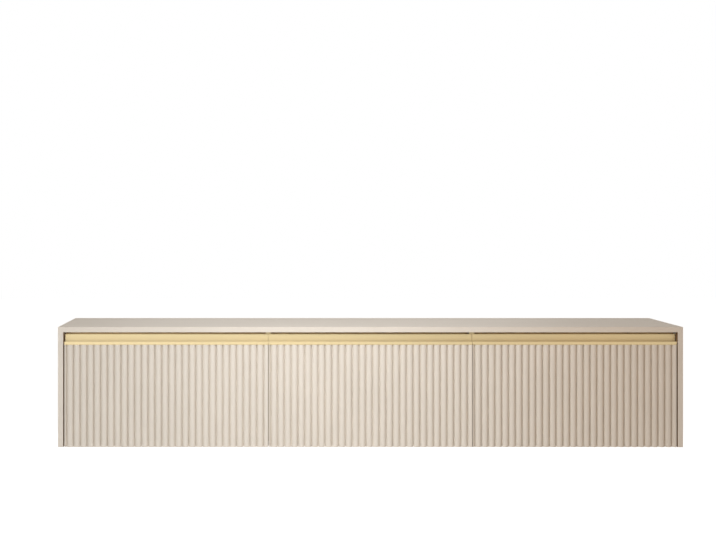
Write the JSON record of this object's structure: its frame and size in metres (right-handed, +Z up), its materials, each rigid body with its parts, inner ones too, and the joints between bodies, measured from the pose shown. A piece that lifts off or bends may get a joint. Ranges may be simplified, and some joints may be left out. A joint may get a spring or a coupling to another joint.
{
  "type": "floating media console",
  "caption": "Long low wall-hung media console with fluted drawer fronts under a plain mitred top, full-width metal finger pulls and a hidden hook rail behind.",
  "frame": {"origin": "centre of the wall rail's bolt holes, on the wall's surface", "axes": "+X along the wall to the right seen from the room, +Y into the wall, +Z up"},
  "size_m": [2.1, 0.4, 0.404],
  "materials": {
    "cream_lacquer": "satin lacquer on MDF",
    "champagne_gold": "satin anodised",
    "gilt_board": "gold foil on MDF",
    "drawer_board": "matt melamine",
    "back_board": "matt",
    "batten_timber": "planed",
    "rail_aluminium": "mill",
    "runner_steel": "zinc plated",
    "grommet_plastic": "matt",
    "bumper_rubber": "clear soft"
  },
  "bodies": {
    "carcass": {"top_panel": "cream_lacquer", "left_side_panel": "cream_lacquer", "right_side_panel": "cream_lacquer", "bottom_panel": "cream_lacquer", "left_divider": "cream_lacquer", "right_divider": "cream_lacquer", "back_panel": "back_board", "hanging_batten": "batten_timber", "cabinet_cleat": "rail_aluminium", "wall_rail": "rail_aluminium", "cable_grommets": "grommet_plastic", "front_bumpers": "bumper_rubber", "left_front_rail": "gilt_board", "left_bay_left_runner_outer": "runner_steel", "left_bay_right_runner_outer": "runner_steel", "middle_front_rail": "gilt_board", "middle_bay_left_runner_outer": "runner_steel", "middle_bay_right_runner_outer": "runner_steel", "right_front_rail": "gilt_board", "right_bay_left_runner_outer": "runner_steel", "right_bay_right_runner_outer": "runner_steel"},
    "left_drawer": {"left_drawer_front": "cream_lacquer", "left_drawer_pull": "champagne_gold", "left_drawer_inner_front": "drawer_board", "left_drawer_left_side": "drawer_board", "left_drawer_right_side": "drawer_board", "left_drawer_back": "drawer_board", "left_drawer_bottom": "drawer_board", "left_bay_left_runner_inner": "runner_steel", "left_bay_right_runner_inner": "runner_steel"},
    "left_runner_middles": {"left_bay_left_runner_middle": "runner_steel", "left_bay_right_runner_middle": "runner_steel"},
    "middle_drawer": {"middle_drawer_front": "cream_lacquer", "middle_drawer_pull": "champagne_gold", "middle_drawer_inner_front": "drawer_board", "middle_drawer_left_side": "drawer_board", "middle_drawer_right_side": "drawer_board", "middle_drawer_back": "drawer_board", "middle_drawer_bottom": "drawer_board", "middle_bay_left_runner_inner": "runner_steel", "middle_bay_right_runner_inner": "runner_steel"},
    "middle_runner_middles": {"middle_bay_left_runner_middle": "runner_steel", "middle_bay_right_runner_middle": "runner_steel"},
    "right_drawer": {"right_drawer_front": "cream_lacquer", "right_drawer_pull": "champagne_gold", "right_drawer_inner_front": "drawer_board", "right_drawer_left_side": "drawer_board", "right_drawer_right_side": "drawer_board", "right_drawer_back": "drawer_board", "right_drawer_bottom": "drawer_board", "right_bay_left_runner_inner": "runner_steel", "right_bay_right_runner_inner": "runner_steel"},
    "right_runner_middles": {"right_bay_left_runner_middle": "runner_steel", "right_bay_right_runner_middle": "runner_steel"}
  },
  "joints": [
    {"name": "left_drawer_slide", "type": "slide", "parent": "carcass", "child": "left_drawer", "axis": [0, -1, 0], "range_m": [0, 0.3]},
    {"name": "left_runner_slide", "type": "slide", "parent": "carcass", "child": "left_runner_middles", "axis": [0, -1, 0], "range_m": [0, 0.15]},
    {"name": "middle_drawer_slide", "type": "slide", "parent": "carcass", "child": "middle_drawer", "axis": [0, -1, 0], "range_m": [0, 0.3]},
    {"name": "middle_runner_slide", "type": "slide", "parent": "carcass", "child": "middle_runner_middles", "axis": [0, -1, 0], "range_m": [0, 0.15]},
    {"name": "right_drawer_slide", "type": "slide", "parent": "carcass", "child": "right_drawer", "axis": [0, -1, 0], "range_m": [0, 0.3]},
    {"name": "right_runner_slide", "type": "slide", "parent": "carcass", "child": "right_runner_middles", "axis": [0, -1, 0], "range_m": [0, 0.15]}
  ],
  "couplings": [
    {"joint": "left_runner_slide", "follows": "left_drawer_slide", "ratio": 0.5},
    {"joint": "middle_runner_slide", "follows": "middle_drawer_slide", "ratio": 0.5},
    {"joint": "right_runner_slide", "follows": "right_drawer_slide", "ratio": 0.5}
  ]
}
